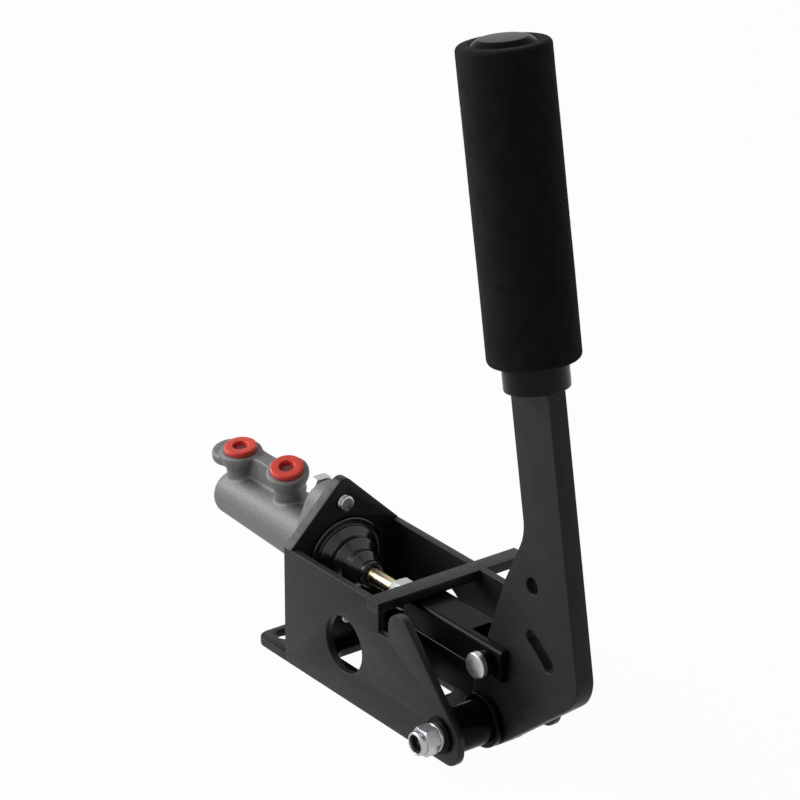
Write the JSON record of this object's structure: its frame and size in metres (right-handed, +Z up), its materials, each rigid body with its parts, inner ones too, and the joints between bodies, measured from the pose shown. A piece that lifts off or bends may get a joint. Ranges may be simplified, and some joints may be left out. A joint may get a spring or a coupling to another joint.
{
  "type": "hydraulic handbrake lever",
  "caption": "Upright hydraulic handbrake: a cranked flat lever with a foam grip turns in a folded bracket and pushes a rod into a plugged master cylinder.",
  "frame": {"origin": "on the floor, at the middle of the bracket's four fixing holes", "axes": "+X from the cylinder towards the lever, +Y to the far side of the bracket, +Z up"},
  "size_m": [0.2904, 0.1026, 0.3475],
  "materials": {
    "powder_coat": "satin black powder coat with a fine texture",
    "lever_coat": "satin black powder coat",
    "cast_alloy": "sand-cast, grainy, unpolished",
    "red_plug": "moulded red transit plug",
    "zinc": "bright zinc plate",
    "yellow_zinc": "yellow passivated zinc plate",
    "boot_rubber": "moulded rubber, satin",
    "black_steel": "black oxide",
    "foam": "closed-cell foam, matte and finely pitted",
    "cap_gloss": "polished black plastic",
    "bronze": "sintered bronze",
    "spring_steel": "drawn spring wire"
  },
  "bodies": {
    "bracket": {"base_plate": "powder_coat", "near_side_plate": "powder_coat", "far_side_plate": "powder_coat", "end_plate": "powder_coat", "cross_bar": "powder_coat", "cylinder_body": "cast_alloy", "flange_bolts": "zinc", "front_port_plug": "red_plug", "rear_port_plug": "red_plug", "return_spring": "spring_steel", "retaining_washer": "zinc", "circlip": "black_steel", "dust_boot": "boot_rubber", "pivot_bolt": "zinc", "pivot_nut": "zinc", "pivot_washers": "black_steel", "pivot_sleeve": "bronze", "near_spacer": "black_steel", "far_spacer": "black_steel", "thrust_washers": "black_steel"},
    "lever": {"lever_bar": "lever_coat", "handle_tube": "lever_coat", "foam_grip": "foam", "end_cap": "cap_gloss", "clevis_pin": "zinc", "pin_collar": "black_steel", "pin_washer": "zinc", "pin_clip": "black_steel"},
    "rod": {"piston": "bronze", "primary_seal": "boot_rubber", "secondary_seal": "boot_rubber", "push_rod": "yellow_zinc", "lock_nut": "zinc", "clevis": "black_steel"}
  },
  "joints": [
    {"name": "lever_pull", "type": "hinge", "parent": "bracket", "child": "lever", "pos_m": [0.0855, 0, 0.0136], "axis": [0, -1, 0], "range_deg": [0, 26]},
    {"name": "rod_slide", "type": "slide", "parent": "bracket", "child": "rod", "axis": [-1, 0, 0], "range_m": [0, 0.016], "stiffness_N_per_m": 600, "springref_m": -0.02, "deforming": ["return_spring"]}
  ],
  "couplings": [
    {"joint": "rod_slide", "follows": "lever_pull", "m_per_rad": 0.03479}
  ]
}
